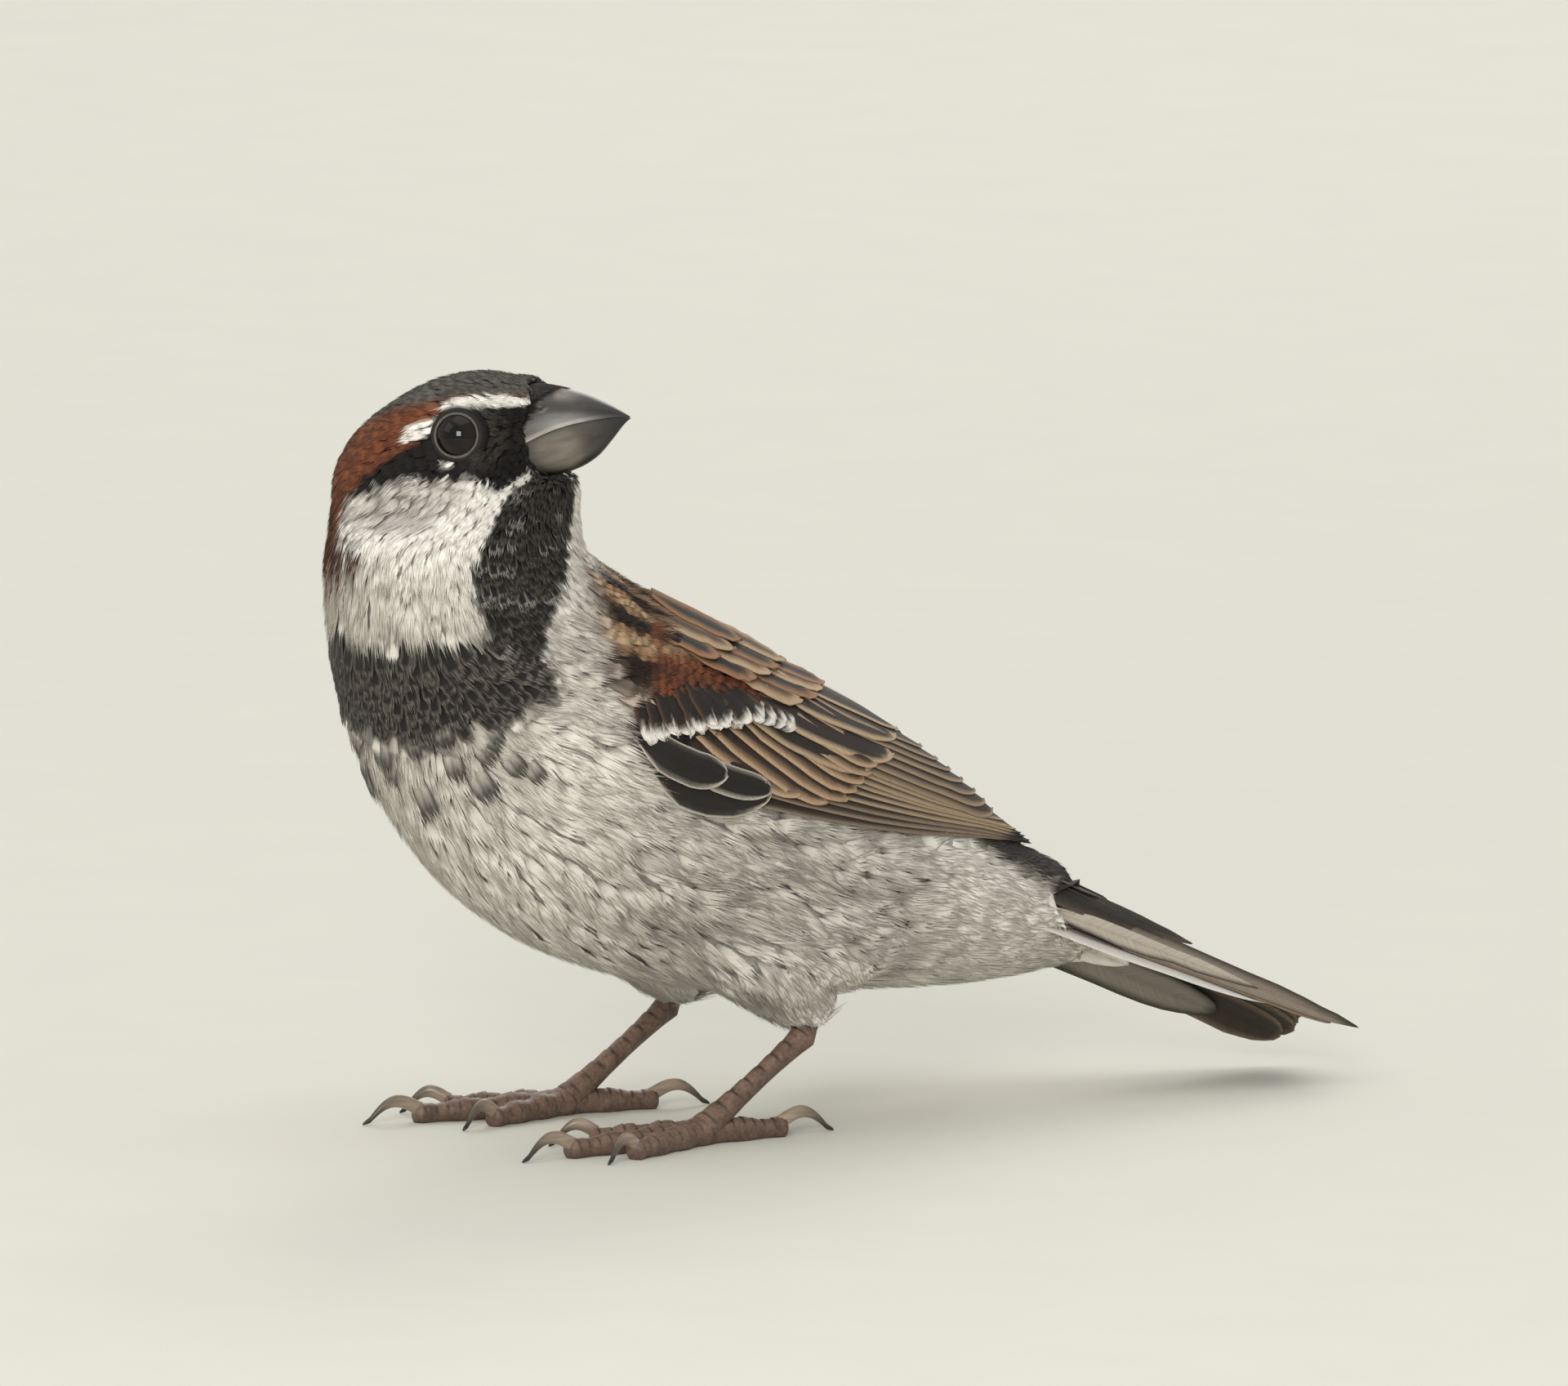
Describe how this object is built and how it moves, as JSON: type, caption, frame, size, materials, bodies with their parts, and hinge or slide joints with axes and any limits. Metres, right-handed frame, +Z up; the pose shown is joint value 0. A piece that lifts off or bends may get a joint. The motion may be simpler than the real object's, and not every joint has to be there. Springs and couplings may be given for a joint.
{
  "type": "house sparrow",
  "caption": "Life-size adult male house sparrow standing with its wings folded and its head turned back over its left shoulder.",
  "frame": {"origin": "middle of the underside of the box round the bird, on the floor it stands on", "axes": "the body faces -Y, its left side is +X, +Z is up"},
  "size_m": [0.0454, 0.1212, 0.0842],
  "materials": {
    "head": "matt feathers: grey cap, chestnut sides, black bib and off-white cheeks",
    "neck": "matt feathers: pale collar, black bib and chestnut nape",
    "body": "soft matt feathers: grey-buff below, chestnut and black streaks above",
    "rump": "soft matt feathers, grey-brown above and off-white below",
    "covert": "smooth feathers, chestnut with a white bar",
    "flight": "smooth stiff feathers, dark brown with buff edges",
    "bill": "horn with a soft gloss",
    "eye": "wet gloss",
    "leg": "scaled skin",
    "claw": "horn with a soft gloss"
  },
  "bodies": {
    "root": {"bill_lower": "bill", "bill_upper": "bill", "claw_hind_left": "claw", "claw_hind_right": "claw", "claw_inner_left": "claw", "claw_inner_right": "claw", "claw_middle_left": "claw", "claw_middle_right": "claw", "claw_outer_left": "claw", "claw_outer_right": "claw", "eye_left": "eye", "eye_right": "eye", "head": "head", "neck": "neck", "rump": "rump", "shank_left": "leg", "shank_right": "leg", "tail": "flight", "thigh_left": "body", "thigh_right": "body", "toe_hind_left": "leg", "toe_hind_right": "leg", "toe_inner_left": "leg", "toe_inner_right": "leg", "toe_middle_left": "leg", "toe_middle_right": "leg", "toe_outer_left": "leg", "toe_outer_right": "leg", "trunk": "body", "wing_coverts_left": "covert", "wing_coverts_right": "covert", "wing_inner_quills_left": "flight", "wing_inner_quills_right": "flight", "wing_primaries_left": "flight", "wing_primaries_right": "flight"}
  },
  "joints": []
}
